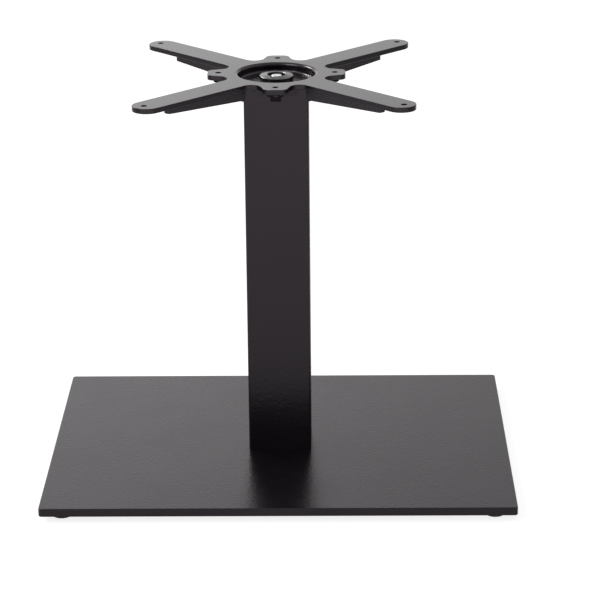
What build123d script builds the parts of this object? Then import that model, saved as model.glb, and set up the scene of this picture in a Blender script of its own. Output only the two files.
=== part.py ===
"""Coffee table base: a flat plate on levelling feet, a square column, and a cast four-arm spider
that a single tie rod clamps to the plate. Millimetres, +Z up, origin on the floor under the column."""
import os
from math import cos, radians, sin, sqrt, tan

from build123d import *

# Whole object
overall_height = 478.0

# Base plate
plate_width = 550.0
plate_depth = 410.0
plate_thickness = 10.0
plate_corner_radius = 4.0
plate_edge_round = 1.0
counterbore_radius = 13.0
counterbore_depth = 4.0

# Levelling feet
foot_height = 8.0
foot_inset = 25.0
pad_radius = 12.0
pad_top_radius = 10.5
pad_floor = 3.0
pad_edge_bevel = 0.6
stud_radius = 4.0
stud_head_flats = 13.0
stud_hole_cover = 2.0
stud_tip_gap = 1.0
stud_side_gap = 0.25
stud_tip_bevel = 0.8

# Column
column_width = 75.0
column_wall = 2.0
column_corner_radius = 3.0

# Column locator and its two screws
locator_thickness = 12.0
locator_gap = 0.3
locator_lead_in = 2.0
locator_screw_spacing = 44.0
screw_radius = 3.0
screw_head_radius = 6.0
screw_tip_cover = 3.0

# Spider: arms
arm_hole_spacing = 287.0
arm_hole_radius = 3.5
arm_width = 34.0
arm_end_margin = 12.5
arm_thickness = 6.0
casting_edge_round = 0.6

# Spider: ribs under the arms
rib_width = 10.0
rib_end_setback = 31.5
rib_end_radius = 3.5
rib_end_depth = 15.2
rib_root_rise = 1.8
rib_draft = 2.0

# Spider: lugs
lug_hole_radius_from_axis = 67.5
lug_hole_radius = 3.5
lug_end_radius = 80.0
lug_end_width = 24.0
lug_flare = 16.0
lug_corner_radius = 8.0
crotch_radius = 11.5
gusset_top_width = 25.0
gusset_foot_width = 12.0
gusset_neck_depth = 14.0
gusset_end_setback = 7.5
gusset_end_height = 2.0

# Spider: hub
recess_radius = 44.5
recess_depth = 11.0
recess_floor_fillet = 3.0
recess_rim_round = 3.5
recess_wall = 5.5
hub_floor = 5.5
cup_draft = 12.0
socket_depth = 7.5
socket_gap = 0.3
socket_wall = 3.5
socket_corner_radius = 6.0

# Clamp collar
collar_radius = 19.5
collar_bore_radius = 10.5
collar_drop = 1.8
collar_edge_bevel = 0.4
collar_bore_bevel = 0.6
spigot_radius = 14.0
spigot_length = 9.4
spigot_gap = 0.3
collar_web = 4.0

# Tie rod, nuts and washers
rod_radius = 6.0
rod_chamfer = 1.0
rod_drop_in_collar = 1.5
rod_end_below_nut = 1.0
clearance_hole_gap = 0.5
thread_gap = 0.1
nut_flats = 18.0
top_nut_height = 6.0
bottom_nut_height = 5.0
nut_chamfer_angle = 30.0
washer_radius = 10.0
washer_thickness = 2.0

# Levels that follow from the sizes above
plate_bottom = foot_height
plate_top = plate_bottom + plate_thickness
spider_top = overall_height
recess_floor_level = spider_top - recess_depth
column_top = recess_floor_level - hub_floor
skirt_bottom = column_top - socket_depth
collar_top = spider_top - collar_drop
collar_bottom = recess_floor_level - spigot_length
web_top = collar_bottom + collar_web
top_nut_seat = web_top + washer_thickness
rod_top = collar_top - rod_drop_in_collar
clamp_face = plate_bottom + counterbore_depth
bottom_nut_top = clamp_face - washer_thickness
rod_bottom = bottom_nut_top - bottom_nut_height - rod_end_below_nut
stud_hole_depth = plate_thickness - stud_hole_cover
rod_hole_radius = rod_radius + clearance_hole_gap
skirt_half_width = column_width / 2 + socket_gap + socket_wall
arm_hole_radius_from_axis = arm_hole_spacing / sqrt(2)
overcut = 1.0


def square_prism(width, height, corner_radius):
    """Upright square bar with rounded corners, its foot at zero."""
    return extrude(RectangleRounded(width, width, corner_radius), height)


def hexagon_bar(flats, height):
    """Upright hexagonal bar, its foot at zero."""
    return extrude(RegularPolygon(flats / 2, 6, major_radius=False), height)


def disc(radius, height):
    """Upright round bar, its foot at zero."""
    return Cylinder(radius, height, align=(Align.CENTER, Align.CENTER, Align.MIN))


def foot_places():
    """Names and plan positions of the four feet."""
    reach_x = plate_width / 2 - foot_inset
    reach_y = plate_depth / 2 - foot_inset
    for depth_name, side_y in (("front", -1), ("rear", 1)):
        for width_name, side_x in (("left", -1), ("right", 1)):
            yield f"{depth_name}_{width_name}", side_x * reach_x, side_y * reach_y


def locator_screw_places():
    """Names and plan positions of the two screws of the column locator."""
    for name, side in (("left", -1), ("right", 1)):
        yield name, side * locator_screw_spacing / 2


def make_base_plate():
    """Flat plate with rounded edges, blind foot holes, a counterbore and two countersinks below."""
    blank = extrude(RectangleRounded(plate_width, plate_depth, plate_corner_radius), plate_thickness)
    rims = blank.edges().group_by(Axis.Z)
    plate = fillet(rims[0] + rims[-1], plate_edge_round)
    for _, x, y in foot_places():
        plate -= Pos(x, y, 0) * disc(stud_radius + stud_side_gap, stud_hole_depth)
    plate -= disc(rod_hole_radius, plate_thickness)
    plate -= disc(counterbore_radius, counterbore_depth)
    for _, x in locator_screw_places():
        plate -= Pos(x, 0, 0) * screw_profile(plate_thickness + overcut, clearance_hole_gap)
    return Pos(0, 0, plate_bottom) * plate


def screw_profile(length, gap):
    """Countersunk screw, head down, its head face at zero; a gap makes it the hole for that screw."""
    shank = screw_radius + gap
    head = screw_head_radius + gap
    cone_height = head - shank
    half_section = Polygon((0, 0), (head, 0), (shank, cone_height), (shank, length), (0, length), align=None)
    return revolve(Plane.XZ * half_section, Axis.Z)


def make_locator_screw(x):
    """Countersunk screw from under the plate into the locator."""
    length = plate_thickness + locator_thickness - screw_tip_cover
    return Pos(x, 0, plate_bottom) * screw_profile(length, 0)


def make_column_locator():
    """Square block that fits inside the foot of the tube, with a lead-in round its top."""
    width = column_width - 2 * (column_wall + locator_gap)
    corner = column_corner_radius + locator_lead_in
    block = square_prism(width, locator_thickness, corner)
    block = chamfer(block.edges().group_by(Axis.Z)[-1], locator_lead_in)
    block -= disc(rod_hole_radius, locator_thickness)
    for _, x in locator_screw_places():
        block -= Pos(x, 0, 0) * disc(screw_radius + thread_gap, locator_thickness)
    return Pos(0, 0, plate_top) * block


def make_column():
    """Square tube from the plate to the underside of the hub."""
    height = column_top - plate_top
    bore_corner = max(column_corner_radius - column_wall, locator_gap)
    tube = square_prism(column_width, height, column_corner_radius)
    tube -= square_prism(column_width - 2 * column_wall, height, bore_corner)
    return Pos(0, 0, plate_top) * tube


def spider_outline():
    """Plan of the casting: four round-ended arms and four tapered lugs that meet in rounded crotches."""
    flare = radians(lug_flare)
    half_arm = arm_width / 2
    half_lug = lug_end_width / 2
    run = (lug_end_radius - half_lug - half_arm * sqrt(2)) / (cos(flare) + sin(flare))
    crotch = Vector(lug_end_radius - run * cos(flare), half_lug + run * sin(flare))
    outward = Vector(1, 1).normalized()
    across = Vector(1, -1).normalized() * half_arm
    tip = outward * (arm_hole_radius_from_axis + arm_end_margin - half_arm)
    with BuildSketch() as plan:
        with BuildLine():
            for quarter in range(4):
                corner = [
                    Vector(lug_end_radius, -half_lug),
                    Vector(lug_end_radius, half_lug),
                    crotch,
                    tip + across,
                    tip + outward * half_arm,
                    tip - across,
                    Vector(crotch.Y, crotch.X),
                    Vector(half_lug, lug_end_radius),
                ]
                spun = [point.rotate(Axis.Z, 90 * quarter) for point in corner]
                Polyline(*spun[:4])
                ThreePointArc(*spun[3:6])
                Polyline(*spun[5:])
        make_face()
        lug_corner = Vector(lug_end_radius, half_lug)
        for corner, radius in ((crotch, crotch_radius), (lug_corner, lug_corner_radius)):
            fillet([v for v in plan.vertices() if abs(v.center().length - corner.length) < overcut], radius)
    return plan.sketch


def make_arm_rib():
    """Tapered rib under the arm that points along +X, deepest at the skirt, in the casting's top frame."""
    end = arm_hole_radius_from_axis - rib_end_setback
    root = skirt_half_width * sqrt(2) - socket_corner_radius * (sqrt(2) - 1)
    root_depth = spider_top - skirt_bottom - rib_root_rise
    plan = Pos(end / 2, 0) * RectangleRounded(end, rib_width, rib_end_radius)
    bar = extrude(Pos(0, 0, -arm_thickness) * plan, arm_thickness - root_depth, taper=rib_draft)
    side = Polygon((0, 0), (end, 0), (end, -rib_end_depth), (root, -root_depth), (0, -root_depth), align=None)
    blade = extrude(Plane.XZ * side, rib_width, both=True)
    return bar & blade


def make_lug_gusset():
    """Sloped web under the lug that points along +X; it narrows on its way down to the skirt's foot."""
    end = lug_end_radius - gusset_end_setback
    foot = spider_top - skirt_bottom
    side = Polygon(
        (0, -arm_thickness / 2),
        (end, -arm_thickness / 2),
        (end, -arm_thickness - gusset_end_height),
        (skirt_half_width, -foot),
        (0, -foot),
        align=None,
    )
    half_top = gusset_top_width / 2
    half_foot = gusset_foot_width / 2
    front = Polygon(
        (-half_top, 0),
        (-half_top, -arm_thickness),
        (-half_foot, -gusset_neck_depth),
        (-half_foot, -foot),
        (half_foot, -foot),
        (half_foot, -gusset_neck_depth),
        (half_top, -arm_thickness),
        (half_top, 0),
        align=None,
    )
    blade = extrude(Plane.XZ * side, half_top, both=True)
    return blade & extrude(Plane.YZ * front, end)


def make_recess_cutter():
    """Round recess with a filleted floor and a rounded rim, in the casting's top frame."""
    with BuildSketch(Plane.XZ) as half_section:
        with BuildLine():
            rim = recess_radius + recess_rim_round
            Polyline((0, overcut), (0, -recess_depth), (recess_radius - recess_floor_fillet, -recess_depth))
            RadiusArc(
                (recess_radius - recess_floor_fillet, -recess_depth),
                (recess_radius, -recess_depth + recess_floor_fillet),
                -recess_floor_fillet,
            )
            Line((recess_radius, -recess_depth + recess_floor_fillet), (recess_radius, -recess_rim_round))
            RadiusArc((recess_radius, -recess_rim_round), (rim, 0), recess_rim_round)
            Polyline((rim, 0), (rim, overcut), (0, overcut))
        make_face()
    return revolve(half_section.sketch, Axis.Z)


def make_hub_body():
    """Tapered cup under the recess and the square skirt below it, in the casting's top frame."""
    cup_height = recess_depth + hub_floor - arm_thickness
    cup_radius = recess_radius + recess_wall
    cup_plan = Pos(0, 0, -arm_thickness) * Circle(cup_radius)
    cup = extrude(cup_plan, -cup_height, taper=cup_draft)
    foot = spider_top - skirt_bottom
    skirt = square_prism(2 * skirt_half_width, foot - arm_thickness, socket_corner_radius)
    return cup + Pos(0, 0, -foot) * skirt


def make_spider():
    """The casting: arms, ribs, lugs, gussets and hub in one piece, with its recess, socket and holes."""
    web = extrude(spider_outline(), -arm_thickness)
    rims = web.edges().group_by(Axis.Z)
    casting = fillet(rims[0] + rims[-1], casting_edge_round)
    casting += make_hub_body()
    for quarter in range(4):
        casting += Rot(0, 0, 45 + 90 * quarter) * make_arm_rib()
        casting += Rot(0, 0, 90 * quarter) * make_lug_gusset()
    casting -= make_recess_cutter()
    foot = spider_top - skirt_bottom
    socket_width = column_width + 2 * socket_gap
    casting -= Pos(0, 0, -foot) * square_prism(socket_width, socket_depth, column_corner_radius + socket_gap)
    casting -= Pos(0, 0, -foot) * disc(spigot_radius + spigot_gap, foot)
    for quarter in range(4):
        arm = Rot(0, 0, 45 + 90 * quarter) * Pos(arm_hole_radius_from_axis, 0, -foot)
        casting -= arm * disc(arm_hole_radius, foot + overcut)
        lug = Rot(0, 0, 90 * quarter) * Pos(lug_hole_radius_from_axis, 0, -foot)
        casting -= lug * disc(lug_hole_radius, foot + overcut)
    return Pos(0, 0, spider_top) * casting


def make_clamp_collar():
    """Turned cup whose flange rests on the recess floor and whose web carries the washer and nut."""
    flange = disc(collar_radius, collar_top - recess_floor_level)
    flange = chamfer(flange.edges().group_by(Axis.Z)[-1], collar_edge_bevel)
    collar = Pos(0, 0, recess_floor_level) * flange
    collar += Pos(0, 0, collar_bottom) * disc(spigot_radius, spigot_length)
    collar -= Pos(0, 0, web_top) * disc(collar_bore_radius, collar_top - web_top)
    collar -= Pos(0, 0, collar_bottom) * disc(rod_hole_radius, collar_web)
    bore_rim = collar.edges().filter_by(GeomType.CIRCLE).group_by(Axis.Z)[-1].sort_by(SortBy.RADIUS)[0]
    return chamfer(bore_rim, collar_bore_bevel)


def make_tie_rod():
    """Long rod with chamfered ends, from under the plate to the bore of the collar."""
    rod = disc(rod_radius, rod_top - rod_bottom)
    rod = chamfer(rod.edges().filter_by(GeomType.CIRCLE), rod_chamfer)
    return Pos(0, 0, rod_bottom) * rod


def make_nut(height, level):
    """Hexagon nut with both faces turned down to a chamfer, its lower face at the level given."""
    corner = nut_flats / sqrt(3)
    drop = (corner - nut_flats / 2) * tan(radians(nut_chamfer_angle))
    section = Polygon(
        (0, 0),
        (nut_flats / 2, 0),
        (corner, drop),
        (corner, height - drop),
        (nut_flats / 2, height),
        (0, height),
        align=None,
    )
    nut = hexagon_bar(nut_flats, height) & revolve(Plane.XZ * section, Axis.Z)
    nut -= disc(rod_radius + thread_gap, height)
    return Pos(0, 0, level) * nut


def make_washer(level):
    """Flat washer, its lower face at the level given."""
    washer = disc(washer_radius, washer_thickness) - disc(rod_hole_radius, washer_thickness)
    return Pos(0, 0, level) * washer


def make_foot_pad(x, y):
    """Moulded pad, wider at the floor, with a hexagonal pocket for the head of its stud."""
    section = Polygon(
        (0, 0),
        (pad_radius, 0),
        (pad_radius, pad_floor),
        (pad_top_radius, foot_height),
        (0, foot_height),
        align=None,
    )
    pad = revolve(Plane.XZ * section, Axis.Z)
    pad = chamfer(pad.edges().filter_by(GeomType.CIRCLE).group_by(Axis.Z)[0], pad_edge_bevel)
    pad -= Pos(0, 0, pad_floor) * hexagon_bar(stud_head_flats, foot_height - pad_floor)
    return Pos(x, y, 0) * pad


def make_foot_stud(x, y):
    """Hexagon-head stud: the head sits in the pad and the shank goes up into the plate."""
    shank = disc(stud_radius, stud_hole_depth - stud_tip_gap)
    shank = chamfer(shank.edges().group_by(Axis.Z)[-1], stud_tip_bevel)
    head = hexagon_bar(stud_head_flats, foot_height - pad_floor)
    return Pos(x, y, foot_height) * shank + Pos(x, y, pad_floor) * head


def make_parts():
    """Every piece of the object under its node name."""
    parts = {
        "base_plate": make_base_plate(),
        "column": make_column(),
        "column_locator": make_column_locator(),
        "spider": make_spider(),
        "clamp_collar": make_clamp_collar(),
        "tie_rod": make_tie_rod(),
        "top_washer": make_washer(web_top),
        "top_nut": make_nut(top_nut_height, top_nut_seat),
        "bottom_washer": make_washer(bottom_nut_top),
        "bottom_nut": make_nut(bottom_nut_height, bottom_nut_top - bottom_nut_height),
    }
    for name, x in locator_screw_places():
        parts[f"locator_screw_{name}"] = make_locator_screw(x)
    for name, x, y in foot_places():
        parts[f"foot_pad_{name}"] = make_foot_pad(x, y)
        parts[f"foot_stud_{name}"] = make_foot_stud(x, y)
    return parts


os.makedirs("parts", exist_ok=True)
for node, shape in make_parts().items():
    export_step(shape, f"parts/{node}.step")
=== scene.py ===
"""Coffee table base: finishes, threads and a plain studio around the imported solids.

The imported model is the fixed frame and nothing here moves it. Pieces made here stand for plain solids of
the same form and add what those leave out: screw threads, drive sockets and the slight crown of the collar.
"""
import logging
import math
from abc import ABC, abstractmethod
from collections.abc import Iterator
from dataclasses import dataclass, field
from enum import Enum

import bmesh
import bpy
from mathutils import Euler, Matrix, Vector


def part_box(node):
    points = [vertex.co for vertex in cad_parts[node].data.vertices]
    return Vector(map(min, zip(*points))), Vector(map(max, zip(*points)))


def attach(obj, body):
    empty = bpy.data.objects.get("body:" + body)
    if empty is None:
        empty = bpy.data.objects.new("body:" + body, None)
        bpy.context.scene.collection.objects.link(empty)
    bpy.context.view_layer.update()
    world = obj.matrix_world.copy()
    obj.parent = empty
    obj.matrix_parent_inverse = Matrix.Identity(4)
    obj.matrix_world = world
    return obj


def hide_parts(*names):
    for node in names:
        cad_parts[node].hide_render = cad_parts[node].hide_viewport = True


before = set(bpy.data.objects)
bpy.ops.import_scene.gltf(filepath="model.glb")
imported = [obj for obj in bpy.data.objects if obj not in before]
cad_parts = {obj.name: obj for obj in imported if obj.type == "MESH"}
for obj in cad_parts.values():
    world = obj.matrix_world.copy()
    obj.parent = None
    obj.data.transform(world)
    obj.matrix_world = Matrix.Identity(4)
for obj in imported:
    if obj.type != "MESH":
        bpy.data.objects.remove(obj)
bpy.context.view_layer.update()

LOG = logging.getLogger("table_base")
MM = 0.001
# Depth of a metric thread as a share of its pitch.
THREAD_DEPTH = 0.61
# Points closer than this are one point.
WELD = 0.002 * MM

Rgb = tuple[float, float, float]
Point = tuple[float, float, float]
Socket = bpy.types.NodeSocket
Inputs = dict[str | int, object]

# Refractive index of the coats and of nylon, and the tint of the coats' gloss.
RESIN_IOR = 1.53
COAT_GLOSS: Rgb = (1.0, 0.86, 0.98)


class Slot(Enum):
    """Material slots that the record names."""

    BLACK_COAT = "black_coat"
    CAST_BLACK_COAT = "cast_black_coat"
    BLACK_STEEL = "black_steel"
    PLAIN_STEEL = "plain_steel"
    ZINC_STEEL = "zinc_steel"
    BLACK_NYLON = "black_nylon"


class Corner(Enum):
    """Corners of the plate that stand on a foot."""

    FRONT_LEFT = "front_left"
    FRONT_RIGHT = "front_right"
    REAR_LEFT = "rear_left"
    REAR_RIGHT = "rear_right"


class Side(Enum):
    """Sides of the column locator that a screw holds."""

    LEFT = "left"
    RIGHT = "right"


class ShaderGraph:
    """Adds and links the nodes of one shader tree."""

    tint_stops = (0.35, 0.65)

    def __init__(self, tree: bpy.types.NodeTree) -> None:
        """Empties the tree.

        Args:
            tree: Node tree of a material or of the world.
        """
        tree.nodes.clear()
        self.tree = tree

    def add(self, kind: str, inputs: Inputs | None = None, **settings: object) -> bpy.types.Node:
        """Adds one node.

        Args:
            kind: Type of the node.
            inputs: Numbers, colours or sockets for its inputs, by name or number.
            settings: Values for its own options.

        Returns:
            The new node.
        """
        node = self.tree.nodes.new(kind)
        for name, value in settings.items():
            setattr(node, name, value)
        for key, value in (inputs or {}).items():
            if isinstance(value, bpy.types.NodeSocket):
                self.tree.links.new(value, node.inputs[key])
            else:
                node.inputs[key].default_value = value
        return node

    def place(self) -> Socket:
        """Position on the object, in metres in the part's own frame."""
        return self.add("ShaderNodeTexCoord").outputs["Object"]

    def stretched(self, along: Point) -> Socket:
        """Position scaled along each axis.

        Args:
            along: Factors for the three axes; a small one draws the pattern out along that axis.

        Returns:
            The scaled position.
        """
        inputs = {"Vector": self.place(), "Scale": along}
        return self.add("ShaderNodeMapping", inputs).outputs["Vector"]

    def noise(self, size: float, detail: float = 2.0, place: Socket | None = None) -> Socket:
        """Soft random pattern from 0 to 1.

        Args:
            size: Distance between its bumps, in metres.
            detail: How many finer layers lie on it.
            place: Position to read, the plain one if left out.

        Returns:
            The pattern's value.
        """
        inputs = {"Vector": place or self.place(), "Scale": 1.0 / size, "Detail": detail}
        return self.add("ShaderNodeTexNoise", inputs).outputs[0]

    def pits(self, size: float, width: float) -> Socket:
        """Scattered round pits, 0 in a pit and 1 between them.

        Args:
            size: Distance between pits, in metres.
            width: Share of that distance that a pit takes.

        Returns:
            The pattern's value.
        """
        cells = self.add("ShaderNodeTexVoronoi", {"Vector": self.place(), "Scale": 1.0 / size})
        return self.span(cells.outputs["Distance"], 0.0, 1.0, 0.0, width)

    def span(self, value: Socket, low: float, high: float, start: float = 0.3, end: float = 0.7) -> Socket:
        """Maps a pattern onto a range.

        Args:
            value: The pattern.
            low: Result at the start.
            high: Result at the end.
            start: Pattern value that gives the low result.
            end: Pattern value that gives the high result.

        Returns:
            The mapped value.
        """
        inputs = {"Value": value, "From Min": start, "From Max": end, "To Min": low, "To Max": high}
        return self.add("ShaderNodeMapRange", inputs).outputs[0]

    def tint(self, value: Socket, dark: Rgb, light: Rgb) -> Socket:
        """Colour that follows a pattern.

        Args:
            value: The pattern.
            dark: Colour where it is low.
            light: Colour where it is high.

        Returns:
            The colour.
        """
        ramp = self.add("ShaderNodeValToRGB", {"Fac": value})
        for stop, place, color in zip(ramp.color_ramp.elements, self.tint_stops, (dark, light)):
            stop.position = place
            stop.color = (*color, 1.0)
        return ramp.outputs["Color"]

    def relief(self, height: Socket, depth: float, below: Socket | None = None) -> Socket:
        """Surface relief.

        Args:
            height: Pattern from 0 to 1.
            depth: Height of the pattern, in metres.
            below: Coarser relief that this one lies on.

        Returns:
            The bent normal.
        """
        inputs: Inputs = {"Height": height, "Distance": depth, "Strength": 1.0}
        if below:
            inputs["Normal"] = below
        return self.add("ShaderNodeBump", inputs).outputs["Normal"]


@dataclass(frozen=True)
class Finish(ABC):
    """Surface of everything in one material slot."""

    slot: Slot
    color: Rgb
    roughness: float

    def material(self) -> bpy.types.Material:
        """Finds the material of this finish, or makes it on first use.

        Returns:
            The material.
        """
        name = f"{self.slot.value}_finish"
        found = bpy.data.materials.get(name)
        if found:
            return found
        made = bpy.data.materials.new(name)
        made.use_nodes = True
        made.diffuse_color = (*self.color, 1.0)
        graph = ShaderGraph(made.node_tree)
        shader = graph.add("ShaderNodeBsdfPrincipled", self.sockets(graph))
        graph.add("ShaderNodeOutputMaterial", {"Surface": shader.outputs[0]})
        return made

    @abstractmethod
    def sockets(self, graph: ShaderGraph) -> Inputs:
        """What goes into the shader's sockets.

        Args:
            graph: Tree that the patterns are added to.

        Returns:
            Numbers, colours and patterns by socket name.
        """

    def shade(self, factor: float) -> Rgb:
        """The colour, lighter or darker by a factor."""
        return tuple(channel * factor for channel in self.color)


@dataclass(frozen=True)
class PowderCoat(Finish):
    """Baked satin coat on smooth steel, with a fine orange peel."""

    peel_size: float = 3.5 * MM
    peel_depth: float = 0.2 * MM
    grain_size: float = 0.9 * MM
    grain_depth: float = 0.004 * MM
    drift_size: float = 55 * MM
    drift: float = 0.02
    gloss_tint: Rgb = COAT_GLOSS

    def sockets(self, graph: ShaderGraph) -> Inputs:
        """Coat colour with a slow drift of gloss, and the peel as relief.

        Args:
            graph: Tree that the patterns are added to.

        Returns:
            Numbers, colours and patterns by socket name.
        """
        cloud = graph.noise(self.drift_size, 3.0)
        peel = graph.relief(graph.noise(self.peel_size, 3.0), self.peel_depth)
        return {
            "Base Color": graph.tint(cloud, self.shade(0.85), self.shade(1.15)),
            "Roughness": graph.span(cloud, self.roughness - self.drift, self.roughness + self.drift),
            "IOR": RESIN_IOR,
            "Specular Tint": (*self.gloss_tint, 1.0),
            "Normal": graph.relief(graph.noise(self.grain_size, 1.0), self.grain_depth, peel),
        }


@dataclass(frozen=True)
class CastCoat(Finish):
    """The same coat over a sand casting: its top is ground and the rest keeps the sand grain."""

    top: float = 478 * MM
    skin_depth: float = 4 * MM
    skin_gain: float = 40.0
    swell_size: float = 9 * MM
    swell_depth: float = 0.02 * MM
    sand_size: float = 1.6 * MM
    sand_depth: float = 0.007 * MM
    pit_size: float = 6 * MM
    pit_depth: float = 0.02 * MM
    pit_share: float = 0.12
    drift: float = 0.03
    gloss_tint: Rgb = COAT_GLOSS

    def sockets(self, graph: ShaderGraph) -> Inputs:
        """Coat colour that thins on the sand grain, and relief that grows coarse below the ground top.

        Args:
            graph: Tree that the patterns are added to.

        Returns:
            Numbers, colours and patterns by socket name.
        """
        sand = graph.noise(self.sand_size, 3.0)
        level = graph.add("ShaderNodeSeparateXYZ", {0: graph.place()}).outputs["Z"]
        gain = graph.span(level, self.skin_gain, 1.0, self.top - self.skin_depth, self.top)
        grain = graph.span(sand, -0.5, 0.5, 0.0, 1.0)
        skin = graph.add("ShaderNodeMath", {0: grain, 1: gain}, operation="MULTIPLY").outputs[0]
        swell = graph.relief(graph.noise(self.swell_size, 2.0), self.swell_depth)
        pitted = graph.relief(graph.pits(self.pit_size, self.pit_share), self.pit_depth, swell)
        return {
            "Base Color": graph.tint(sand, self.shade(0.8), self.shade(1.25)),
            "Roughness": graph.span(sand, self.roughness - self.drift, self.roughness + self.drift),
            "IOR": RESIN_IOR,
            "Specular Tint": (*self.gloss_tint, 1.0),
            "Normal": graph.relief(skin, self.sand_depth, pitted),
        }


@dataclass(frozen=True)
class BlackenedSteel(Finish):
    """Turned steel with a dark oxide skin and fine tool rings."""

    ring_pitch: float = 0.35 * MM
    ring_depth: float = 0.012 * MM
    bloom_size: float = 6 * MM
    drift: float = 0.05

    def sockets(self, graph: ShaderGraph) -> Inputs:
        """Dark metal with cloudy oxide and rings about the upright axis.

        Args:
            graph: Tree that the patterns are added to.

        Returns:
            Numbers, colours and patterns by socket name.
        """
        level = {0: graph.place(), 1: (1.0, 1.0, 0.0)}
        flat = graph.add("ShaderNodeVectorMath", level, operation="MULTIPLY").outputs[0]
        radius = graph.add("ShaderNodeVectorMath", {0: flat}, operation="LENGTH").outputs["Value"]
        turns = graph.add("ShaderNodeCombineXYZ", {"X": radius}).outputs[0]
        bloom = graph.noise(self.bloom_size, 3.0)
        return {
            "Base Color": graph.tint(bloom, self.shade(0.8), self.shade(1.2)),
            "Metallic": 1.0,
            "Roughness": graph.span(bloom, self.roughness - self.drift, self.roughness + self.drift),
            "Normal": graph.relief(graph.noise(self.ring_pitch, 1.0, turns), self.ring_depth),
        }


@dataclass(frozen=True)
class BrightZinc(Finish):
    """Bright zinc plate with faint clouds."""

    cloud_size: float = 4 * MM
    grain_size: float = 0.5 * MM
    grain_depth: float = 0.003 * MM
    drift: float = 0.06

    def sockets(self, graph: ShaderGraph) -> Inputs:
        """Pale metal whose tint and gloss drift together.

        Args:
            graph: Tree that the patterns are added to.

        Returns:
            Numbers, colours and patterns by socket name.
        """
        cloud = graph.noise(self.cloud_size, 3.0)
        return {
            "Base Color": graph.tint(cloud, self.shade(0.9), self.shade(1.06)),
            "Metallic": 1.0,
            "Roughness": graph.span(cloud, self.roughness - self.drift, self.roughness + self.drift),
            "Normal": graph.relief(graph.noise(self.grain_size, 1.0), self.grain_depth),
        }


@dataclass(frozen=True)
class MillSteel(Finish):
    """Bare rolled steel with lines along the rolling direction."""

    line_size: float = 0.4 * MM
    line_depth: float = 0.006 * MM
    line_stretch: float = 0.02
    scale_size: float = 14 * MM
    scale_dulls: float = 0.08
    bare_shines: float = 0.05

    def sockets(self, graph: ShaderGraph) -> Inputs:
        """Grey metal with darker mill scale and rolling lines along X.

        Args:
            graph: Tree that the patterns are added to.

        Returns:
            Numbers, colours and patterns by socket name.
        """
        scale = graph.noise(self.scale_size, 4.0)
        lines = graph.noise(self.line_size, 2.0, graph.stretched((self.line_stretch, 1.0, 1.0)))
        dull = self.roughness + self.scale_dulls
        bright = self.roughness - self.bare_shines
        return {
            "Base Color": graph.tint(scale, self.shade(0.75), self.shade(1.1)),
            "Metallic": 1.0,
            "Roughness": graph.span(scale, dull, bright),
            "Normal": graph.relief(lines, self.line_depth),
        }


@dataclass(frozen=True)
class MouldedNylon(Finish):
    """Black nylon from a spark-eroded mould."""

    spark_size: float = 0.5 * MM
    spark_depth: float = 0.02 * MM
    drift: float = 0.06

    def sockets(self, graph: ShaderGraph) -> Inputs:
        """Matt plastic with an even spark texture.

        Args:
            graph: Tree that the patterns are added to.

        Returns:
            Numbers, colours and patterns by socket name.
        """
        spark = graph.noise(self.spark_size, 2.0)
        return {
            "Base Color": graph.tint(spark, self.shade(0.8), self.shade(1.2)),
            "Roughness": graph.span(spark, self.roughness - self.drift, self.roughness + self.drift),
            "IOR": RESIN_IOR,
            "Normal": graph.relief(spark, self.spark_depth),
        }


BLACK_COAT = PowderCoat(Slot.BLACK_COAT, (0.0016, 0.0014, 0.0017), 0.27)
CAST_BLACK_COAT = CastCoat(Slot.CAST_BLACK_COAT, (0.0021, 0.0019, 0.0021), 0.2)
BLACK_STEEL = BlackenedSteel(Slot.BLACK_STEEL, (0.16, 0.16, 0.165), 0.3)
PLAIN_STEEL = MillSteel(Slot.PLAIN_STEEL, (0.42, 0.42, 0.43), 0.42)
ZINC_STEEL = BrightZinc(Slot.ZINC_STEEL, (0.74, 0.75, 0.77), 0.28)
BLACK_NYLON = MouldedNylon(Slot.BLACK_NYLON, (0.012, 0.012, 0.012), 0.5)


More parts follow.
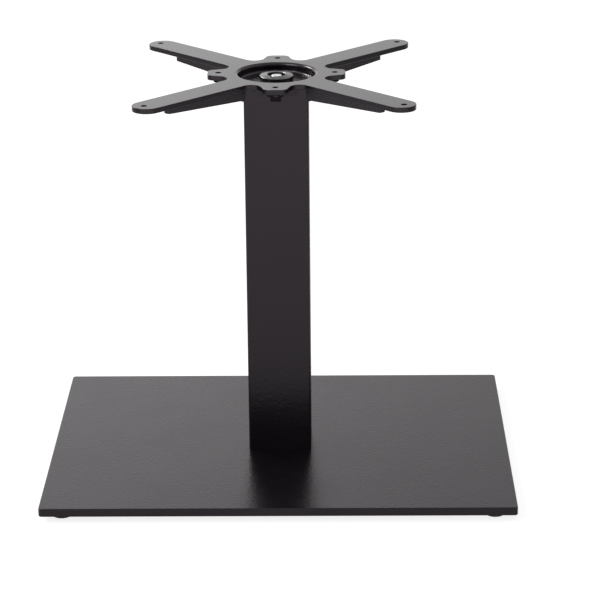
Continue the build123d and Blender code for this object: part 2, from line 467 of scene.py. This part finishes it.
@dataclass
class RingMesh:
    """Closed skin that runs through rings of points about an upright axis."""

    x: float = 0.0
    y: float = 0.0
    segments: int = 48
    rings: list[list[Vector]] = field(default_factory=list)

    def ring(self, radii: list[float], heights: list[float]) -> None:
        """Adds one ring; its last point meets the first, or a later ring where a thread climbs.

        Args:
            radii: Distance of each point from the axis.
            heights: Height of each point.
        """
        points = []
        for step, (radius, height) in enumerate(zip(radii, heights)):
            angle = 2 * math.pi * step / self.segments
            x = self.x + radius * math.cos(angle)
            y = self.y + radius * math.sin(angle)
            points.append(Vector((x, y, height)))
        self.rings.append(points)

    def circle(self, radius: float, height: float) -> None:
        """Adds a round ring; a radius of zero closes the skin."""
        count = self.segments + 1
        self.ring([radius] * count, [height] * count)

    def hexagon(self, flats: float, height: float) -> None:
        """Adds a hexagonal ring.

        Args:
            flats: Its size across the flats.
            height: Its height.
        """
        sixth = math.pi / 3
        turns = (2 * math.pi * step / self.segments for step in range(self.segments + 1))
        radii = [flats / 2 / math.cos((turn % sixth) - sixth / 2) for turn in turns]
        self.ring(radii, [height] * (self.segments + 1))

    def thread(self, radius: float, pitch: float, low: float, high: float, tip: float = 0.0) -> None:
        """Adds the rings of a right-hand screw thread.

        Args:
            radius: Outer radius.
            pitch: Climb of one turn.
            low: Height where the thread starts.
            high: Height where it ends.
            tip: Size of the chamfer at the upper end.
        """
        depth = THREAD_DEPTH * pitch
        steps_per_turn = 4
        crest_and_root = (0.0, 0.0, depth, depth)
        for row in range(-steps_per_turn, math.ceil((high - low) / pitch * steps_per_turn) + 1):
            radii, heights = [], []
            for step in range(self.segments + 1):
                climb = (row / steps_per_turn + step / self.segments) * pitch
                height = min(max(low + climb, low), high)
                cut = crest_and_root[row % steps_per_turn]
                limit = radius - max(0.0, tip - (high - height)) if tip else radius
                at_end = height in (low, high)
                radii.append(min(limit, radius - depth if at_end else radius - cut))
                heights.append(height)
            self.ring(radii, heights)

    def build(self, name: str, sharp_degrees: float = 32.0) -> bpy.types.Object:
        """Makes the object.

        Args:
            name: Name of the piece.
            sharp_degrees: Edges that turn by more than this stay sharp.

        Returns:
            The object, linked into the scene.
        """
        skin = bmesh.new()
        rows = [[skin.verts.new(point) for point in ring] for ring in self.rings]
        for lower, upper in zip(rows, rows[1:]):
            for left, right, right_up, left_up in zip(lower, lower[1:], upper[1:], upper):
                skin.faces.new((left, right, right_up, left_up))
        bmesh.ops.remove_doubles(skin, verts=skin.verts, dist=WELD)
        bmesh.ops.dissolve_degenerate(skin, edges=skin.edges, dist=WELD)
        bmesh.ops.recalc_face_normals(skin, faces=skin.faces)
        mesh = bpy.data.meshes.new(name)
        skin.to_mesh(mesh)
        skin.free()
        mesh.shade_smooth()
        mesh.set_sharp_from_angle(angle=math.radians(sharp_degrees))
        made = bpy.data.objects.new(name, mesh)
        bpy.context.scene.collection.objects.link(made)
        return made


@dataclass
class SubAssembly(ABC):
    """Group of pieces that ride on one body of the frame."""

    body: str = "pedestal"

    @abstractmethod
    def build(self) -> Iterator[str]:
        """Builds and dresses the group.

        Yields:
            The name of each piece when it is done.
        """

    def dress(self, node: str, finish: Finish) -> str:
        """Puts a finish on a solid of the frame.

        Args:
            node: Name of the solid.
            finish: What its surface is.

        Returns:
            The solid's name.
        """
        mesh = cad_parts[node].data
        mesh.materials.clear()
        mesh.materials.append(finish.material())
        return node

    def stand_for(self, made: bpy.types.Object, node: str, finish: Finish) -> str:
        """Shows a new piece in place of a solid.

        Args:
            made: The piece, in its place.
            node: Name of the solid that it stands for.
            finish: What its surface is.

        Returns:
            The piece's name.
        """
        made.data.materials.append(finish.material())
        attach(made, self.body)
        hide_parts(node)
        return made.name


@dataclass
class BasePlate(SubAssembly):
    """The flat plate with the column locator and the two screws that hold it."""

    screw_pitch: float = 1.0 * MM
    plain_length: float = 6.0 * MM
    socket_flats: float = 4.0 * MM
    socket_depth: float = 2.2 * MM
    tip_chamfer: float = 0.5 * MM

    def build(self) -> Iterator[str]:
        """Dresses the plate and the locator, then makes the screws.

        Yields:
            The name of each piece when it is done.
        """
        yield self.dress("base_plate", BLACK_COAT)
        yield self.dress("column_locator", PLAIN_STEEL)
        for side in Side:
            yield self.locator_screw(side)

    def locator_screw(self, side: Side) -> str:
        """Countersunk screw, head down, with a hexagon socket and a thread.

        Args:
            side: Which of the two screws.

        Returns:
            The piece's name.
        """
        node = f"locator_screw_{side.value}"
        low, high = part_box(node)
        centre = (low + high) / 2
        head = (high.x - low.x) / 2
        shank = head / 2
        cone_top = low.z + head - shank
        mesh = RingMesh(centre.x, centre.y, segments=36)
        mesh.circle(0.0, low.z + self.socket_depth)
        mesh.hexagon(self.socket_flats, low.z + self.socket_depth)
        mesh.hexagon(self.socket_flats, low.z)
        mesh.circle(head, low.z)
        mesh.circle(shank, cone_top)
        mesh.circle(shank, cone_top + self.plain_length)
        mesh.thread(shank, self.screw_pitch, cone_top + self.plain_length, high.z, self.tip_chamfer)
        mesh.circle(0.0, high.z)
        return self.stand_for(mesh.build(f"socket_screw_{side.value}"), node, ZINC_STEEL)


@dataclass
class Column(SubAssembly):
    """The square tube."""

    def build(self) -> Iterator[str]:
        """Dresses the tube."""
        yield self.dress("column", BLACK_COAT)


@dataclass
class Spider(SubAssembly):
    """The casting that the table top screws to."""

    def build(self) -> Iterator[str]:
        """Dresses the casting."""
        yield self.dress("spider", CAST_BLACK_COAT)


@dataclass
class ClampStack(SubAssembly):
    """Tie rod, collar, nuts and washers that clamp the casting to the plate."""

    rod_pitch: float = 1.75 * MM
    thread_length: float = 26 * MM
    end_chamfer: float = 0.3 * MM
    end_land: float = 0.6 * MM
    bore_radius: float = 10.5 * MM
    bore_bevel: float = 0.6 * MM
    rim_bevel: float = 0.4 * MM
    crown_drop: float = 1.3 * MM
    spigot_radius: float = 14.0 * MM
    spigot_length: float = 9.4 * MM
    web: float = 4.0 * MM
    rod_hole_radius: float = 6.5 * MM

    def build(self) -> Iterator[str]:
        """Dresses the nuts and washers, then makes the collar and the rod.

        Yields:
            The name of each piece when it is done.
        """
        for node in ("top_washer", "top_nut"):
            yield self.dress(node, BLACK_STEEL)
        for node in ("bottom_washer", "bottom_nut"):
            yield self.dress(node, ZINC_STEEL)
        yield self.collar()
        yield self.tie_rod()

    def collar(self) -> str:
        """Turned collar whose crowned top falls from the bore to the rim.

        Returns:
            The piece's name.
        """
        low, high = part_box("clamp_collar")
        outer = (high.x - low.x) / 2
        shoulder = low.z + self.spigot_length
        rim = high.z - self.crown_drop
        profile = [
            (self.rod_hole_radius, low.z),
            (self.spigot_radius, low.z),
            (self.spigot_radius, shoulder),
            (outer, shoulder),
            (outer, rim - self.rim_bevel),
            (outer - self.rim_bevel, rim),
            (self.bore_radius + self.bore_bevel, high.z),
            (self.bore_radius, high.z - self.bore_bevel),
            (self.bore_radius, low.z + self.web),
            (self.rod_hole_radius, low.z + self.web),
            (self.rod_hole_radius, low.z),
        ]
        mesh = RingMesh(segments=96)
        for radius, height in profile:
            mesh.circle(radius, height)
        return self.stand_for(mesh.build("crowned_collar"), "clamp_collar", BLACK_STEEL)

    def tie_rod(self) -> str:
        """Long rod with a thread at both ends.

        Returns:
            The piece's name.
        """
        low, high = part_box("tie_rod")
        radius = (high.x - low.x) / 2
        root = radius - THREAD_DEPTH * self.rod_pitch
        mesh = RingMesh(segments=40)
        mesh.circle(0.0, low.z)
        mesh.thread(radius, self.rod_pitch, low.z, low.z + self.thread_length)
        mesh.circle(radius, low.z + self.thread_length + radius - root)
        mesh.circle(radius, high.z - self.thread_length - radius + root)
        mesh.thread(radius, self.rod_pitch, high.z - self.thread_length, high.z - self.end_land)
        mesh.circle(radius, high.z - self.end_land)
        mesh.circle(radius, high.z - self.end_chamfer)
        mesh.circle(radius - self.end_chamfer, high.z)
        mesh.circle(0.0, high.z)
        return self.stand_for(mesh.build("threaded_tie_rod"), "tie_rod", ZINC_STEEL)


@dataclass
class LevellingFoot(SubAssembly):
    """Nylon pad on a hexagon-head stud that screws up into the plate."""

    corner: Corner = Corner.FRONT_LEFT
    stud_radius: float = 4.0 * MM
    stud_pitch: float = 1.25 * MM
    tip_chamfer: float = 0.8 * MM
    head_flats: float = 13.0 * MM

    def __post_init__(self) -> None:
        """Rides on the body of its own corner."""
        self.body = f"foot_{self.corner.value}"

    def build(self) -> Iterator[str]:
        """Dresses the pad, then makes the stud."""
        yield self.dress(f"foot_pad_{self.corner.value}", BLACK_NYLON)
        yield self.stud()

    def stud(self) -> str:
        """Stud with a hexagon head in the pad and a thread in the plate.

        Returns:
            The piece's name.
        """
        node = f"foot_stud_{self.corner.value}"
        low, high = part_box(node)
        centre = (low + high) / 2
        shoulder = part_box(f"foot_pad_{self.corner.value}")[1].z
        mesh = RingMesh(centre.x, centre.y, segments=36)
        mesh.circle(0.0, low.z)
        mesh.hexagon(self.head_flats, low.z)
        mesh.hexagon(self.head_flats, shoulder)
        mesh.circle(self.stud_radius - THREAD_DEPTH * self.stud_pitch, shoulder)
        mesh.thread(self.stud_radius, self.stud_pitch, shoulder, high.z, self.tip_chamfer)
        mesh.circle(0.0, high.z)
        return self.stand_for(mesh.build(f"threaded_stud_{self.corner.value}"), node, ZINC_STEEL)


@dataclass(frozen=True)
class SoftBox:
    """Square soft lamp: where it hangs, the side of its square and its power in watts."""

    name: str
    place: Point
    size: float
    power: float


@dataclass
class Studio:
    """Pale floor, white surroundings, soft lamps and the camera."""

    floor_reach: float = 12.0
    floor_drop: float = 0.1 * MM
    floor_albedo: float = 0.8
    floor_glow: float = 0.75
    floor_white: float = 0.84
    floor_share: float = 0.3
    # Painted shade in reflections: the floor's glow falls from floor_glow far out to the next level at the
    # object, over the reach after it.
    floor_painted_shade: float = 0.22
    floor_painted_shade_reach: float = 1.9
    surround: float = 0.58
    # Painted light on the backdrop: levels of its glow to the left and right, near its foot and high up,
    # and where they change.
    backdrop_left: float = 1.18
    backdrop_right: float = 0.77
    backdrop_span: float = 1.5
    backdrop_foot: float = 1.24
    backdrop_foot_height: float = 4.2
    backdrop_foot_blend: float = 0.07
    backdrop_top: float = 0.12
    backdrop_top_height: float = 7.7
    backdrop_top_blend: float = 0.2
    ceiling: float = 0.7
    front_wall: float = 0.35
    wing_left: float = 0.5
    wing_right: float = 0.35
    wing_place: float = 1.3
    wing_height: float = 1.0
    key_box: SoftBox = SoftBox("key_box", (-1.6, -1.4, 2.2), 1.6, 26.0)
    rim_box: SoftBox = SoftBox("rim_box", (-3.3, 2.6, 3.2), 1.8, 115.0)
    lamp_aim: Point = (0.0, 0.0, 0.25)
    sensor: float = 36.0
    lens: float = 143.35
    eye: Point = (0.0612, -2.6914, 1.1766)
    heading: float = 0.773
    tilt: float = 70.003
    roll: float = -0.523
    sight_reach: float = 100.0

    def build(self) -> Iterator[str]:
        """Makes the studio.

        Yields:
            The name of each thing when it is done.
        """
        bpy.context.scene.view_settings.view_transform = "Standard"
        self.surroundings()
        yield self.floor()
        yield self.backdrop()
        yield from self.dim_room()
        for box in (self.key_box, self.rim_box):
            yield self.lamp(box)
        yield self.camera()

    def shown(self, graph: ShaderGraph) -> Socket:
        """1 for rays that show the studio to the eye, straight or in a reflection, and 0 for its light.

        Args:
            graph: Tree that the nodes are added to.

        Returns:
            The switch.
        """
        path = graph.add("ShaderNodeLightPath")
        seen = graph.add(
            "ShaderNodeMath",
            {0: path.outputs["Is Camera Ray"], 1: path.outputs["Is Glossy Ray"]},
            operation="MAXIMUM",
        )
        both = {0: seen.outputs[0], 1: path.outputs["Is Transmission Ray"]}
        return graph.add("ShaderNodeMath", both, operation="MAXIMUM").outputs[0]

    def surroundings(self) -> None:
        """White all round, and dimmer as a light than as a sight."""
        world = bpy.data.worlds.new("white_surround")
        world.use_nodes = True
        bpy.context.scene.world = world
        graph = ShaderGraph(world.node_tree)
        white = (1.0, 1.0, 1.0, 1.0)
        light = graph.add("ShaderNodeBackground", {"Color": white, "Strength": self.surround})
        sight = graph.add("ShaderNodeBackground", {"Color": white, "Strength": 1.0})
        either = {0: self.shown(graph), 1: light.outputs[0], 2: sight.outputs[0]}
        mix = graph.add("ShaderNodeMixShader", either)
        graph.add("ShaderNodeOutputWorld", {"Surface": mix.outputs[0]})

    def floor(self) -> str:
        """Pale floor that shows white with a faint shadow, and whose glow in reflections is darkened close
        to the object by painted shade.

        Returns:
            The floor's name.
        """
        reach, low = self.floor_reach, -self.floor_drop
        corners = [(-reach, -reach, low), (reach, -reach, low), (reach, reach, low), (-reach, reach, low)]
        made, graph = self.panel("floor", corners)
        plain = graph.add("ShaderNodeBsdfDiffuse", {"Color": (*[self.floor_albedo] * 3, 1.0)})
        lit = graph.add("ShaderNodeBsdfDiffuse", {"Color": (*[self.floor_share] * 3, 1.0)})
        away = graph.add("ShaderNodeVectorMath", {0: graph.place()}, operation="LENGTH").outputs["Value"]
        # Painted shade: in reflections the floor glows dimmer the closer it lies to the object.
        painted_shade = graph.span(away, self.floor_painted_shade, self.floor_glow, 0.0, self.floor_painted_shade_reach)
        straight = graph.add("ShaderNodeLightPath").outputs["Is Camera Ray"]
        open_sight = graph.span(straight, 0.0, self.floor_white, 0.0, 1.0)
        level = graph.add("ShaderNodeMath", {0: painted_shade, 1: open_sight}, operation="MAXIMUM").outputs[0]
        glow = graph.add("ShaderNodeEmission", {"Strength": level})
        sight = graph.add("ShaderNodeAddShader", {0: lit.outputs[0], 1: glow.outputs[0]})
        either = {0: self.shown(graph), 1: plain.outputs[0], 2: sight.outputs[0]}
        mix = graph.add("ShaderNodeMixShader", either)
        graph.add("ShaderNodeOutputMaterial", {"Surface": mix.outputs[0]})
        return made.name

    def backdrop(self) -> str:
        """Wall behind that only reflections show, with painted light: its glow is brighter to the left and
        near its foot, and dim high up.

        Returns:
            The wall's name.
        """
        reach = self.floor_reach
        corners = [(-reach, reach, 0.0), (reach, reach, 0.0), (reach, reach, reach), (-reach, reach, reach)]
        made, graph = self.panel("backdrop", corners)
        axes = graph.add("ShaderNodeSeparateXYZ", {0: graph.place()}).outputs
        span, foot, top = self.backdrop_span, self.backdrop_foot_height, self.backdrop_top_height
        foot_blend, top_blend = foot * self.backdrop_foot_blend, top * self.backdrop_top_blend
        # Painted light: the glow grows to the left and near the foot, and fades high up.
        across = graph.span(axes["X"], self.backdrop_left, self.backdrop_right, -span, span)
        low = graph.span(axes["Z"], self.backdrop_foot, 1.0, foot - foot_blend, foot + foot_blend)
        high = graph.span(axes["Z"], 1.0, self.backdrop_top, top - top_blend, top + top_blend)
        upward = graph.add("ShaderNodeMath", {0: low, 1: high}, operation="MULTIPLY").outputs[0]
        level = graph.add("ShaderNodeMath", {0: across, 1: upward}, operation="MULTIPLY").outputs[0]
        glow = graph.add("ShaderNodeEmission", {"Strength": level})
        graph.add("ShaderNodeOutputMaterial", {"Surface": glow.outputs[0]})
        self.hide_but_in_reflections(made)
        return made.name

    def dim_room(self) -> Iterator[str]:
        """Grey ceiling, front wall and two low wings beside the object, that only reflections show.

        Yields:
            The name of each panel when it is done.
        """
        far, near, low = self.floor_reach / 2, self.wing_place, self.wing_height
        ceiling = [(-far, -far, far), (far, -far, far), (far, far, far), (-far, far, far)]
        front = [(-far, -far, 0.0), (far, -far, 0.0), (far, -far, far), (-far, -far, far)]
        left = [(-near, -near, 0.0), (-near, near, 0.0), (-near, near, low), (-near, -near, low)]
        right = [(near, -near, 0.0), (near, near, 0.0), (near, near, low), (near, -near, low)]
        panels = {
            "ceiling": (self.ceiling, ceiling),
            "front_wall": (self.front_wall, front),
            "left_wing": (self.wing_left, left),
            "right_wing": (self.wing_right, right),
        }
        for name, (level, corners) in panels.items():
            made, graph = self.panel(name, corners)
            glow = graph.add("ShaderNodeEmission", {"Strength": level})
            graph.add("ShaderNodeOutputMaterial", {"Surface": glow.outputs[0]})
            self.hide_but_in_reflections(made)
            yield made.name

    def hide_but_in_reflections(self, made: bpy.types.Object) -> None:
        """Keeps a panel out of the picture, the light and the shadows.

        Args:
            made: The panel.
        """
        made.visible_camera = False
        made.visible_diffuse = False
        made.visible_shadow = False

    def panel(self, name: str, corners: list[Point]) -> tuple[bpy.types.Object, ShaderGraph]:
        """Flat panel of the studio with a bare material.

        Args:
            name: Name of the panel and of its material.
            corners: Its four corners in order.

        Returns:
            The panel and the empty tree of its material.
        """
        mesh = bpy.data.meshes.new(name)
        mesh.from_pydata(corners, [], [(0, 1, 2, 3)])
        made = bpy.data.objects.new(name, mesh)
        bpy.context.scene.collection.objects.link(made)
        material = bpy.data.materials.new(name)
        material.use_nodes = True
        mesh.materials.append(material)
        return made, ShaderGraph(material.node_tree)

    def lamp(self, box: SoftBox) -> str:
        """Hangs a lamp that faces the middle of the column.

        Args:
            box: What it is and where it hangs.

        Returns:
            The lamp's name.
        """
        data = bpy.data.lights.new(box.name, "AREA")
        data.size = box.size
        data.energy = box.power
        made = bpy.data.objects.new(box.name, data)
        made.location = box.place
        aim = Vector(self.lamp_aim) - Vector(box.place)
        made.rotation_euler = aim.to_track_quat("-Z", "Y").to_euler()
        made.visible_camera = False
        bpy.context.scene.collection.objects.link(made)
        return made.name

    def camera(self) -> str:
        """Camera at the photograph's viewing angle.

        Returns:
            The camera's name.
        """
        data = bpy.data.cameras.new("camera")
        data.sensor_width = self.sensor
        data.lens = self.lens
        data.clip_end = self.sight_reach
        made = bpy.data.objects.new("camera", data)
        made.location = self.eye
        turn = Euler((math.radians(self.tilt), 0.0, math.radians(self.heading))).to_matrix()
        made.rotation_euler = (turn @ Matrix.Rotation(math.radians(self.roll), 3, "Z")).to_euler()
        bpy.context.scene.collection.objects.link(made)
        bpy.context.scene.camera = made
        return made.name


def main() -> None:
    """Builds the object's groups in order, then the studio, and reports each piece."""
    logging.basicConfig(level=logging.INFO, format="%(name)s: %(message)s")
    groups: list[SubAssembly] = [BasePlate(), Column(), Spider(), ClampStack()]
    groups += [LevellingFoot(corner=corner) for corner in Corner]
    for group in groups:
        for piece in group.build():
            LOG.info("%s: %s", type(group).__name__, piece)
    for thing in Studio().build():
        LOG.info("Studio: %s", thing)


if __name__ == "__main__":
    main()
